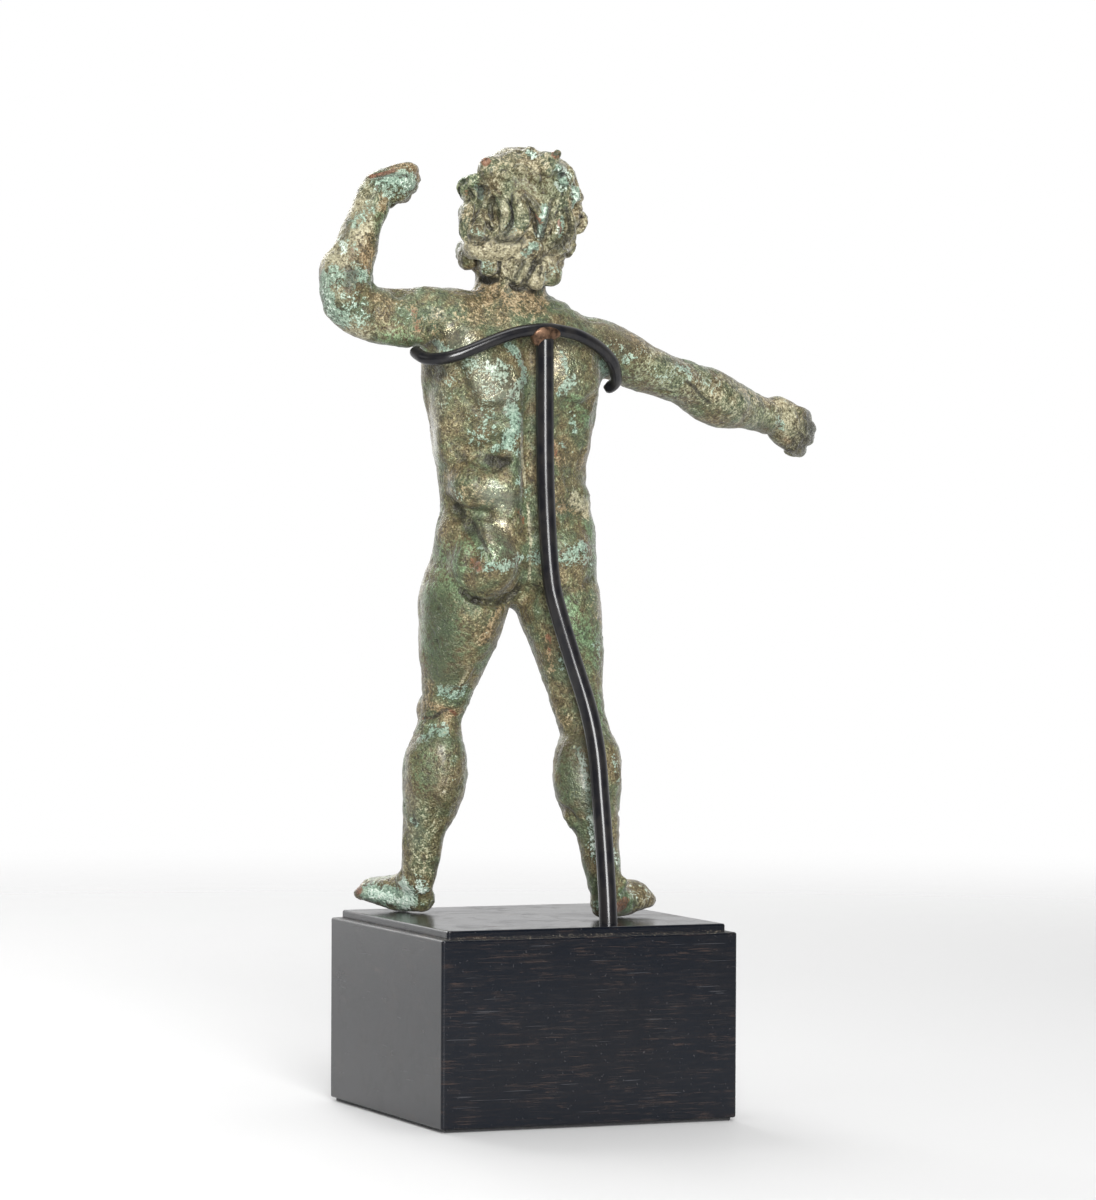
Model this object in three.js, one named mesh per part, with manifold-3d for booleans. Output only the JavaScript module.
// A small solid-cast bronze faun, shown on a block by a bent rod with a cradle wire brazed across it.
// Units are millimetres, up is +Z, the origin is the middle of the underside, and the figure faces -Y.
// The figure's left is +X. Every piece of the object is one named mesh with its own material.

import * as THREE from "three";
import { mergeVertices } from "three/addons/utils/BufferGeometryUtils.js";
import Module from "manifold-3d";

// Display block
const BLOCK_SIDE = 55.6;
const FELT_THICK = 0.6;
const FELT_INSET = 0.8;
const BODY_TOP = 33.2;
const STEP_TOP = 34.65;
const STEP_INSET = 1.56;
const EDGE_EASE = 0.35;

// Support rod and cradle wire
const ROD_DIAMETER = 3.18;
const ROD_HOLE_DIAMETER = 3.4;
const ROD_SUNK = 10;
const ROD_HOLE_DEPTH = 10.3;
const WIRE_DIAMETER = 2.2;
const ROD_SIDES = 9;
const WIRE_SIDES = 8;

// Figure
const SMALL_LIMB_SIDES = 10;
const HEEL_CLEARANCE = 0.06;
const GROUND = STEP_TOP + HEEL_CLEARANCE;
const HEAD_CENTRE = [1.7, -3.1, 160.2];
const HEAD_TURN_DEG = 12;
const HEAD_LEAN_DEG = 8;

const wasm = await Module();
wasm.setup();

const radians = THREE.MathUtils.degToRad;

// A closed geometry as a solid for joining and cutting.
function solid(geometry) {
  const bare = geometry.clone();
  bare.deleteAttribute("normal");
  bare.deleteAttribute("uv");
  const merged = mergeVertices(bare, 1e-4);
  return new wasm.Manifold(
    new wasm.Mesh({
      numProp: 3,
      vertProperties: new Float32Array(merged.attributes.position.array),
      triVerts: new Uint32Array(merged.index.array),
    }),
  );
}

// A solid turned back into a geometry with flat-shaded faces.
function geometryOf(body) {
  const mesh = body.getMesh();
  const corners = new Float32Array(mesh.numVert * 3);
  for (let i = 0; i < mesh.numVert; i++) {
    corners.set(mesh.vertProperties.subarray(i * mesh.numProp, i * mesh.numProp + 3), i * 3);
  }
  const geometry = new THREE.BufferGeometry();
  geometry.setAttribute("position", new THREE.BufferAttribute(corners, 3));
  geometry.setIndex(new THREE.BufferAttribute(new Uint32Array(mesh.triVerts), 1));
  const flat = geometry.toNonIndexed();
  flat.computeVertexNormals();
  return flat;
}

// A closed skin over rings of points, each ring the same length, with a point at each end.
function skin(firstTip, rings, lastTip) {
  const sides = rings[0].length;
  const points = [firstTip, ...rings.flat(), lastTip];
  const index = [];
  const at = (ring, side) => 1 + ring * sides + (side % sides);
  for (let s = 0; s < sides; s++) {
    index.push(0, at(0, s + 1), at(0, s));
    for (let r = 0; r < rings.length - 1; r++) {
      index.push(at(r, s), at(r, s + 1), at(r + 1, s));
      index.push(at(r, s + 1), at(r + 1, s + 1), at(r + 1, s));
    }
    index.push(points.length - 1, at(rings.length - 1, s), at(rings.length - 1, s + 1));
  }
  const geometry = new THREE.BufferGeometry();
  geometry.setAttribute("position", new THREE.Float32BufferAttribute(points.flatMap((p) => p.toArray()), 3));
  geometry.setIndex(index);
  return geometry;
}

// A rounded limb through stations [x, y, z, half width, half depth], its width set along the given side.
function limb(stations, { sides = 14, side = [1, 0, 0], dent = null } = {}) {
  const centres = stations.map((row) => new THREE.Vector3(row[0], row[1], row[2]));
  const across = new THREE.Vector3(...side);
  const frames = centres.map((centre, i) => {
    const ahead = centres[Math.min(i + 1, centres.length - 1)];
    const behind = centres[Math.max(i - 1, 0)];
    const along = ahead.clone().sub(behind).normalize();
    const width = across.clone().addScaledVector(along, -across.dot(along)).normalize();
    const depth = along.clone().cross(width);
    return { centre, along, width, depth };
  });
  const ring = (frame, row, scale, shift) =>
    Array.from({ length: sides }, (_, s) => {
      const angle = (2 * Math.PI * s) / sides;
      const pull = dent ? dent(angle, frame.centre) : 1;
      return frame.centre
        .clone()
        .addScaledVector(frame.along, shift)
        .addScaledVector(frame.width, row[3] * scale * pull * Math.cos(angle))
        .addScaledVector(frame.depth, row[4] * scale * pull * Math.sin(angle));
    });
  const capAngles = sides < SMALL_LIMB_SIDES ? [radians(42)] : [radians(62), radians(32)];
  const reach = (row) => Math.min(row[3], row[4]);
  const first = frames[0];
  const last = frames[frames.length - 1];
  const firstRow = stations[0];
  const lastRow = stations[stations.length - 1];
  const rings = [
    ...capAngles.map((a) => ring(first, firstRow, Math.cos(a), -Math.sin(a) * reach(firstRow))),
    ...frames.map((frame, i) => ring(frame, stations[i], 1, 0)),
    ...capAngles.toReversed().map((a) => ring(last, lastRow, Math.cos(a), Math.sin(a) * reach(lastRow))),
  ];
  const firstTip = first.centre.clone().addScaledVector(first.along, -reach(firstRow));
  const lastTip = last.centre.clone().addScaledVector(last.along, reach(lastRow));
  return solid(skin(firstTip, rings, lastTip));
}

// A scaled ball: a muscle, a knuckle or a curl. It is turned by angles in degrees, or by a matrix.
function ball(centre, half, { turn = [0, 0, 0], matrix = null, across = 9, down = 6 } = {}) {
  const geometry = new THREE.SphereGeometry(1, across, down);
  geometry.applyMatrix4(new THREE.Matrix4().makeScale(...half));
  const angles = new THREE.Euler(...turn.map(radians));
  geometry.applyMatrix4(matrix ?? new THREE.Matrix4().makeRotationFromEuler(angles));
  geometry.translate(...centre);
  return solid(geometry);
}

function box(low, high) {
  const size = high.map((value, i) => value - low[i]);
  const geometry = new THREE.BoxGeometry(...size);
  geometry.translate(...low.map((value, i) => value + size[i] / 2));
  return solid(geometry);
}

// A round bar bent along points, with flat ends.
function bar(points, diameter, sides, steps) {
  const outline = new THREE.Shape(
    Array.from({ length: sides }, (_, i) => {
      const angle = (2 * Math.PI * i) / sides;
      return new THREE.Vector2((diameter / 2) * Math.cos(angle), (diameter / 2) * Math.sin(angle));
    }),
  );
  const path = new THREE.CatmullRomCurve3(points.map((p) => new THREE.Vector3(...p)), false, "centripetal");
  return new THREE.ExtrudeGeometry(outline, { steps, bevelEnabled: false, extrudePath: path });
}

// Torso: the back has a groove for the spine and the front a shallow one down the middle
function torsoDent(angle, centre) {
  const back = Math.exp(-(((angle - Math.PI / 2) / 0.2) ** 2));
  const front = Math.exp(-(((angle - 1.5 * Math.PI) / 0.2) ** 2));
  const rise = THREE.MathUtils.smoothstep(centre.z, 96, 106);
  const chest = rise - THREE.MathUtils.smoothstep(centre.z, 138, 144);
  return 1 - chest * (0.1 * back + 0.06 * front);
}
const torso = limb(
  [
    [2.5, -2.9, 97.0, 12.6, 7.0],
    [2.1, -3.0, 98.6, 14.9, 9.0],
    [1.7, -2.9, 101.8, 14.4, 9.0],
    [2.1, -2.8, 106.0, 14.0, 8.8],
    [2.7, -2.7, 110.5, 13.7, 8.7],
    [3.1, -2.6, 115.5, 14.0, 9.0],
    [3.2, -2.5, 120.0, 15.0, 9.5],
    [3.1, -2.3, 125.0, 15.8, 9.9],
    [3.3, -2.2, 130.0, 16.8, 10.2],
    [3.4, -2.1, 134.5, 16.6, 9.8],
    [3.7, -2.0, 138.0, 14.2, 8.6],
    [4.2, -1.9, 140.6, 10.0, 5.4],
  ],
  { sides: 18, dent: torsoDent },
);

// Legs: the left one is a long step ahead of the right one, and both are turned out
const LEFT_TURN_DEG = 24;
const RIGHT_TURN_DEG = -45;
function acrossLeg(turnDeg) {
  return [Math.cos(radians(turnDeg)), Math.sin(radians(turnDeg)), 0];
}
const leftLeg = limb(
  [
    [10.2, -3.2, 97.5, 6.6, 8.0],
    [11.6, -3.8, 91.5, 7.5, 8.6],
    [11.8, -4.9, 87.5, 7.1, 8.2],
    [12.4, -6.4, 82.0, 5.9, 6.8],
    [12.8, -7.9, 76.7, 4.7, 5.4],
    [13.7, -9.1, 70.8, 3.4, 4.1],
    [14.2, -9.5, 66.8, 4.1, 4.5],
    [14.5, -9.8, 62.4, 5.5, 5.8],
    [14.5, -10.3, 58.6, 5.6, 5.9],
    [15.0, -10.9, 54.6, 4.9, 5.2],
    [15.9, -11.5, 50.6, 3.8, 4.2],
    [16.2, -12.6, 45.0, 3.3, 3.7],
    [16.5, -13.4, 40.6, 2.7, 3.3],
  ],
  { sides: 11, side: acrossLeg(LEFT_TURN_DEG) },
);
const rightLeg = limb(
  [
    [-4.6, -1.6, 97.5, 6.6, 7.6],
    [-5.2, -0.6, 91.5, 7.6, 8.0],
    [-5.7, 0.4, 87.6, 7.1, 7.8],
    [-6.5, 1.4, 82.2, 6.2, 6.9],
    [-7.1, 2.3, 76.9, 5.2, 5.7],
    [-8.0, 3.3, 70.7, 4.4, 4.8],
    [-8.8, 4.0, 66.9, 4.4, 4.8],
    [-8.8, 4.7, 63.0, 5.9, 6.0],
    [-8.6, 5.4, 59.2, 6.1, 6.3],
    [-8.8, 6.0, 55.2, 5.4, 5.7],
    [-9.8, 6.7, 51.2, 4.1, 4.5],
    [-10.2, 7.7, 45.6, 3.4, 3.9],
    [-10.6, 8.5, 40.8, 2.9, 3.5],
  ],
  { sides: 11, side: acrossLeg(RIGHT_TURN_DEG) },
);
const kneecaps = [
  ball([15.2, -12.2, 71.4], [2.4, 1.5, 2.8], { turn: [0, 0, LEFT_TURN_DEG], across: 7, down: 5 }),
  ball([-10.9, 0.5, 71.4], [2.8, 1.7, 2.9], { turn: [0, 0, RIGHT_TURN_DEG], across: 7, down: 5 }),
];

// Feet: a wedge from the heel along the sole, and five toes in a fan at the end, lifted off the ground
const FOOT_LENGTH = 15.4;
const FLAT_SOLE = 6;
function foot(heel, turnDeg, toeLift) {
  const ahead = new THREE.Vector3(Math.sin(radians(turnDeg)), -Math.cos(radians(turnDeg)), 0);
  const across = new THREE.Vector3(-ahead.y, ahead.x, 0);
  const lift = (forward) => (toeLift * Math.max(forward - FLAT_SOLE, 0)) / (FOOT_LENGTH - FLAT_SOLE);
  const place = (forward, sideways, up) => [
    heel[0] + ahead.x * forward + across.x * sideways,
    heel[1] + ahead.y * forward + across.y * sideways,
    GROUND + up,
  ];
  const station = (forward, half, high) => [
    ...place(forward, 0, high / 2 + lift(forward)),
    half,
    high / 2,
  ];
  const sole = limb(
    [
      station(0, 2.5, 5.2),
      station(3, 2.8, 7.2),
      station(6, 3.1, 6.0),
      station(9, 3.6, 4.2),
      station(11.6, 3.7, 3.0),
    ],
    { sides: 10, side: across.toArray() },
  );
  const toes = [-2.8, -1.35, -0.1, 1.1, 2.3].map((sideways, i) => {
    const mirrored = turnDeg > 0 ? sideways : -sideways;
    const length = FOOT_LENGTH - 0.4 * i;
    const half = i === 0 ? 1.15 : 0.85;
    const up = half + lift(length);
    return limb(
      [
        [...place(length - 4, mirrored * 0.9, up + 0.4), half, half],
        [...place(length, mirrored, up), half * 0.9, half * 0.9],
      ],
      { sides: 5, side: across.toArray() },
    );
  });
  return [sole, ...toes];
}
const feet = [
  ...foot([15.3, -14.2], LEFT_TURN_DEG + 2, 1.9),
  ...foot([-10.0, 9.4], RIGHT_TURN_DEG - 9, 1.8),
];

// Arms: the left one bends up at the elbow, the right one reaches out and down with a clenched fist
const leftArm = limb(
  [
    [11.0, -1.9, 140.8, 4.8, 5.6],
    [16.6, -2.0, 141.1, 5.1, 5.6],
    [22.0, -2.2, 141.1, 5.2, 5.0],
    [27.2, -2.3, 141.2, 5.0, 4.6],
    [30.9, -2.5, 142.0, 5.0, 4.5],
    [34.8, -2.8, 144.2, 5.5, 4.6],
    [34.9, -3.0, 147.4, 5.3, 4.5],
    [33.7, -3.2, 150.0, 4.4, 4.1],
    [32.4, -3.6, 153.4, 3.8, 3.8],
    [30.9, -4.1, 157.4, 3.4, 3.4],
    [29.2, -4.6, 160.9, 3.1, 2.8],
  ],
  { sides: 10, side: [0, -0.3, 1] },
);
const leftHand = [
  limb(
    [
      [29.2, -4.7, 160.9, 3.1, 2.9],
      [27.0, -4.9, 163.8, 3.4, 3.5],
      [23.6, -5.3, 165.3, 3.2, 3.7],
      [21.6, -5.6, 166.0, 2.6, 3.2],
    ],
    { sides: 10, side: [0, 0, 1] },
  ),
  limb(
    [
      [26.6, -7.6, 162.9, 1.3, 1.3],
      [24.2, -8.9, 163.5, 1.25, 1.25],
      [22.1, -8.7, 164.3, 1.1, 1.1],
    ],
    { sides: 6, side: [0, 0, 1] },
  ),
];
const rightArm = limb(
  [
    [-7.5, -2.0, 137.2, 4.6, 5.8],
    [-12.5, -2.1, 136.6, 4.8, 5.6],
    [-17.5, -2.7, 135.2, 4.8, 5.2],
    [-22.3, -3.6, 133.2, 4.5, 4.7],
    [-26.9, -4.6, 131.7, 4.1, 4.3],
    [-31.2, -5.7, 130.6, 4.1, 4.2],
    [-34.5, -6.7, 129.5, 4.4, 4.3],
    [-37.7, -7.8, 128.2, 5.0, 4.5],
    [-41.1, -9.0, 127.1, 4.9, 4.4],
    [-45.1, -10.8, 126.4, 4.1, 3.9],
    [-48.4, -12.3, 125.6, 3.5, 3.3],
    [-52.2, -14.0, 124.7, 3.3, 3.0],
  ],
  { sides: 10, side: [0, 0, 1] },
);
const rightFist = [
  ball([-57.0, -15.9, 123.3], [4.6, 4.2, 5.2], { turn: [0, 0, 22], across: 8 }),
  ball([-59.6, -16.6, 119.8], [2.8, 2.8, 3.0], { across: 8, down: 6 }),
  ball([-60.6, -16.0, 125.0], [2.3, 2.4, 2.2], { across: 6, down: 4 }),
  ball([-62.2, -17.0, 122.6], [2.6, 2.6, 2.4], { across: 6, down: 4 }),
  limb(
    [
      [-55.6, -18.8, 125.0, 1.4, 1.4],
      [-58.4, -20.2, 124.0, 1.4, 1.4],
      [-60.6, -19.8, 122.6, 1.2, 1.2],
    ],
    { sides: 6, side: [0, 0, 1] },
  ),
];

// Muscles that stand proud of the torso and shoulders
const muscles = [
  ball([9.6, 0.3, 97.0], [7.7, 7.6, 7.6], { turn: [0, 0, 10], across: 12, down: 7 }),
  ball([-4.9, 0.3, 96.6], [7.4, 7.2, 7.2], { turn: [0, 0, -12], across: 12, down: 7 }),
  ball([9.8, 3.4, 131.6], [6.6, 4.0, 7.4], { turn: [0, 0, 12], across: 8 }),
  ball([-3.8, 3.4, 130.2], [6.6, 3.8, 7.2], { turn: [0, 0, -12], across: 8 }),
  ball([9.6, -8.8, 131.4], [6.9, 3.9, 5.0], { turn: [0, 0, -10], across: 8 }),
  ball([-3.2, -8.6, 130.6], [6.9, 3.9, 5.0], { turn: [0, 0, 10], across: 8 }),
  ball([15.4, -2.2, 140.6], [5.8, 6.0, 5.4]),
  ball([-12.6, -2.2, 136.4], [5.8, 6.0, 5.2]),
];
const shoulderSlopes = [
  limb(
    [
      [4.6, -2.0, 146.0, 4.4, 4.8],
      [9.0, -1.9, 141.6, 4.5, 5.0],
      [14.0, -2.0, 141.2, 4.7, 5.0],
    ],
    { sides: 8, side: [0.5, 0, 0.86] },
  ),
  limb(
    [
      [2.6, -2.0, 144.0, 4.0, 4.8],
      [-3.0, -1.9, 138.6, 4.2, 5.0],
      [-9.6, -2.0, 136.2, 4.3, 5.0],
    ],
    { sides: 8, side: [-0.6, 0, 0.8] },
  ),
];
const groin = [
  ball([2.6, -10.4, 94.0], [2.5, 2.0, 2.4], { across: 7, down: 5 }),
  limb(
    [
      [2.6, -10.8, 96.6, 1.3, 1.3],
      [2.6, -12.6, 94.6, 1.25, 1.25],
      [2.6, -13.0, 93.2, 0.9, 0.9],
    ],
    { sides: 6 },
  ),
];

// Head, in its own directions: sideways to the figure's left, forward along the face, and up.
// It is turned a little to the raised hand and leans to the other shoulder.
const headTurn = new THREE.Matrix4()
  .makeRotationY(radians(-HEAD_LEAN_DEG))
  .multiply(new THREE.Matrix4().makeRotationZ(radians(HEAD_TURN_DEG)));
function onHead(sideways, forward, up) {
  const place = new THREE.Vector3(sideways, -forward, up).applyMatrix4(headTurn);
  return [HEAD_CENTRE[0] + place.x, HEAD_CENTRE[1] + place.y, HEAD_CENTRE[2] + place.z];
}
const headSide = new THREE.Vector3(1, 0, 0).transformDirection(headTurn).toArray();
const headAhead = new THREE.Vector3(0, -1, 0).transformDirection(headTurn).toArray();
const headUp = new THREE.Vector3(0, 0, 1).transformDirection(headTurn).toArray();
function headBall(sideways, forward, up, half, across = 8, down = 6) {
  return ball(onHead(sideways, forward, up), half, { matrix: headTurn, across, down });
}
const neck = limb(
  [
    [3.6, -2.0, 140.0, 6.6, 6.4],
    [3.6, -2.2, 146.0, 6.4, 6.2],
    [2.8, -2.9, 152.0, 6.2, 6.4],
  ],
  { sides: 10 },
);
const skull = [
  headBall(0, -0.8, 0.8, [8.3, 9.3, 9.7], 12, 7),
  headBall(0, 4.2, -4.2, [6.1, 5.7, 8.2], 10, 8),
  headBall(0, 7.4, -10.4, [2.5, 2.3, 2.1]),
];
const faceDetails = [
  limb(
    [
      [...onHead(0, 9.2, 0.8), 0.9, 0.8],
      [...onHead(0, 10.2, -2.2), 0.9, 0.9],
      [...onHead(0, 10.9, -4.0), 1.3, 1.0],
    ],
    { sides: 6, side: headSide },
  ),
  limb(
    [
      [...onHead(-4.6, 7.4, 0.9), 0.8, 0.8],
      [...onHead(0, 9.0, 1.3), 0.9, 0.9],
      [...onHead(4.6, 7.4, 0.9), 0.8, 0.8],
    ],
    { sides: 6, side: headUp },
  ),
  limb(
    [
      [...onHead(-1.8, 9.1, -7.0), 0.6, 0.6],
      [...onHead(0, 9.9, -6.8), 0.75, 0.7],
      [...onHead(1.8, 9.1, -7.0), 0.6, 0.6],
    ],
    { sides: 5, side: headUp },
  ),
  headBall(2.8, 8.1, -0.9, [1.4, 1.2, 1.0], 6, 4),
  headBall(-2.8, 8.1, -0.9, [1.4, 1.2, 1.0], 6, 4),
  headBall(3.2, 7.0, -4.4, [2.4, 2.2, 2.4], 6, 4),
  headBall(-3.2, 7.0, -4.4, [2.4, 2.2, 2.4], 6, 4),
];
const ears = [1, -1].map((hand) =>
  limb(
    [
      [...onHead(hand * 8.0, 1.6, -2.6), 1.0, 0.8],
      [...onHead(hand * 9.4, 1.2, 0.2), 1.6, 1.0],
      [...onHead(hand * 10.9, 0.6, 4.0), 0.7, 0.5],
    ],
    { sides: 6, side: headAhead },
  ),
);

// Hair: a full mass over the skull and nape, with rings of thick curling locks, open over the face
const hairMass = [
  headBall(0, -1.7, 1.4, [9.6, 9.3, 9.9], 12, 7),
  headBall(1.0, -3.2, -5.6, [8.6, 6.4, 5.0], 10, 6),
];
const HAIR_ROWS = [
  { up: 9.8, out: 5.4, count: 4, start: 40, drop: 4.0, thick: 2.4, shift: -0.4 },
  { up: 6.6, out: 8.2, count: 6, start: 0, drop: 5.6, thick: 2.8, shift: 0.9 },
  { up: 1.0, out: 10.0, count: 8, start: 16, drop: 5.8, thick: 2.7, shift: 1.2 },
  { up: -4.4, out: 8.8, count: 7, start: 0, drop: 5.4, thick: 2.6, shift: 1.9 },
];
const NAPE_TUFTS = [
  [9.3, 0.6, 150.2, 2.0],
  [4.5, 3.4, 149.4, 2.4],
  [-2.6, 0.8, 149.8, 2.1],
];
const napeTufts = NAPE_TUFTS.map(([x, y, z, half]) =>
  ball([x, y, z], [half, half, 1.4 * half], { across: 6, down: 4 }),
);
const HAIR_SIDES = 5;
const FACE_OPENING_DEG = 52;
const hair = [];
HAIR_ROWS.forEach((row, tier) => {
  for (let i = 0; i < row.count; i++) {
    const fromFace = row.start + (360 * i) / row.count;
    const away = Math.abs(((fromFace + 180) % 360) - 180);
    if (tier > 1 && away < FACE_OPENING_DEG + 8 * tier) {
      continue;
    }
    const sweep = i % 2 ? 24 : -20;
    const lockPoint = (turnShare, reach, fall, half) => {
      const angle = radians(fromFace + sweep * turnShare);
      const sideways = Math.sin(angle) * reach + row.shift;
      return [...onHead(sideways, Math.cos(angle) * reach - 1.6, row.up - fall), half, half];
    };
    hair.push(
      limb(
        [
          lockPoint(0, row.out - 1.4, 0, row.thick * 0.8),
          lockPoint(0.2, row.out + 0.1, row.drop * 0.5, row.thick),
          lockPoint(1, row.out, row.drop * 0.95, row.thick * 0.5),
        ],
        { sides: HAIR_SIDES, side: [0, 0, 1] },
      ),
    );
  }
});

function join(bodies) {
  return bodies.reduce((whole, body) => whole.add(body));
}
const figure = join([
  torso,
  leftLeg,
  rightLeg,
  ...kneecaps,
  ...feet,
  leftArm,
  ...leftHand,
  rightArm,
  ...rightFist,
  ...muscles,
  ...shoulderSlopes,
  ...groin,
  neck,
  ...skull,
  ...faceDetails,
  ...ears,
  ...hairMass,
  ...napeTufts,
  ...hair,
]);

// Support: the rod stands in the block and leans up to the back, where the wire is brazed across it
const rodPath = [
  [-7.1, 18.6, STEP_TOP - ROD_SUNK],
  [-7.1, 18.6, STEP_TOP],
  [-7.0, 17.3, 45.7],
  [-6.7, 15.9, 56.2],
  [-6.4, 14.6, 64.6],
  [-5.3, 13.4, 72.0],
  [-2.8, 12.2, 80.8],
  [-0.3, 11.3, 89.5],
  [0.8, 10.8, 95.0],
  [1.5, 10.4, 105.4],
  [1.9, 10.3, 117.0],
  [2.0, 10.2, 137.6],
];
const rod = solid(bar(rodPath, ROD_DIAMETER, ROD_SIDES, 22));
const wirePath = [
  [23.9, 4.0, 134.6],
  [22.9, 6.3, 133.7],
  [21.0, 8.2, 133.6],
  [17.8, 9.6, 134.4],
  [10.7, 10.6, 137.3],
  [6.6, 10.6, 138.5],
  [2.0, 10.5, 139.0],
  [-1.4, 10.3, 138.7],
  [-5.0, 9.7, 137.9],
  [-9.3, 8.2, 136.0],
  [-12.6, 6.2, 133.7],
  [-14.7, 3.6, 131.1],
  [-15.4, 1.5, 129.5],
  [-14.4, -0.6, 129.1],
];
const wire = solid(bar(wirePath, WIRE_DIAMETER, WIRE_SIDES, 22));

// Block: an eased body, a step on top, and the hole drilled for the rod
function easedSlab(side, low, high) {
  const half = side / 2 - EDGE_EASE;
  const outline = new THREE.Shape([
    new THREE.Vector2(-half, -half),
    new THREE.Vector2(half, -half),
    new THREE.Vector2(half, half),
    new THREE.Vector2(-half, half),
  ]);
  const geometry = new THREE.ExtrudeGeometry(outline, {
    depth: high - low - 2 * EDGE_EASE,
    bevelEnabled: true,
    bevelSegments: 1,
    bevelSize: EDGE_EASE,
    bevelThickness: EDGE_EASE,
  });
  geometry.translate(0, 0, low + EDGE_EASE);
  return solid(geometry);
}
const hole = new THREE.CylinderGeometry(ROD_HOLE_DIAMETER / 2, ROD_HOLE_DIAMETER / 2, ROD_HOLE_DEPTH + 1, 24);
hole.rotateX(Math.PI / 2);
hole.translate(rodPath[0][0], rodPath[0][1], STEP_TOP + 1 - (ROD_HOLE_DEPTH + 1) / 2);
const stepSide = BLOCK_SIDE - 2 * STEP_INSET;
const block = easedSlab(BLOCK_SIDE, FELT_THICK, BODY_TOP)
  .add(easedSlab(stepSide, BODY_TOP - 2, STEP_TOP))
  .subtract(solid(hole));

const feltHalf = BLOCK_SIDE / 2 - FELT_INSET;
const felt = box([-feltHalf, -feltHalf, 0], [feltHalf, feltHalf, FELT_THICK]);

function piece(name, body, colour, metalness, roughness) {
  const material = new THREE.MeshStandardMaterial({ color: colour, metalness, roughness });
  material.flatShading = true;
  const mesh = new THREE.Mesh(geometryOf(body), material);
  mesh.name = name;
  return mesh;
}

const root = new THREE.Group();
root.name = "bronze_faun_statuette";
root.add(piece("bronze_faun", figure, 0x5d6b4d, 0.6, 0.6));
root.add(piece("support_rod", rod, 0x1d1d1c, 0.8, 0.4));
root.add(piece("cradle_wire", wire, 0x1d1d1c, 0.8, 0.4));
root.add(piece("display_block", block, 0x15161a, 0.0, 0.3));
root.add(piece("felt_pad", felt, 0x101010, 0.0, 0.95));
export default root;
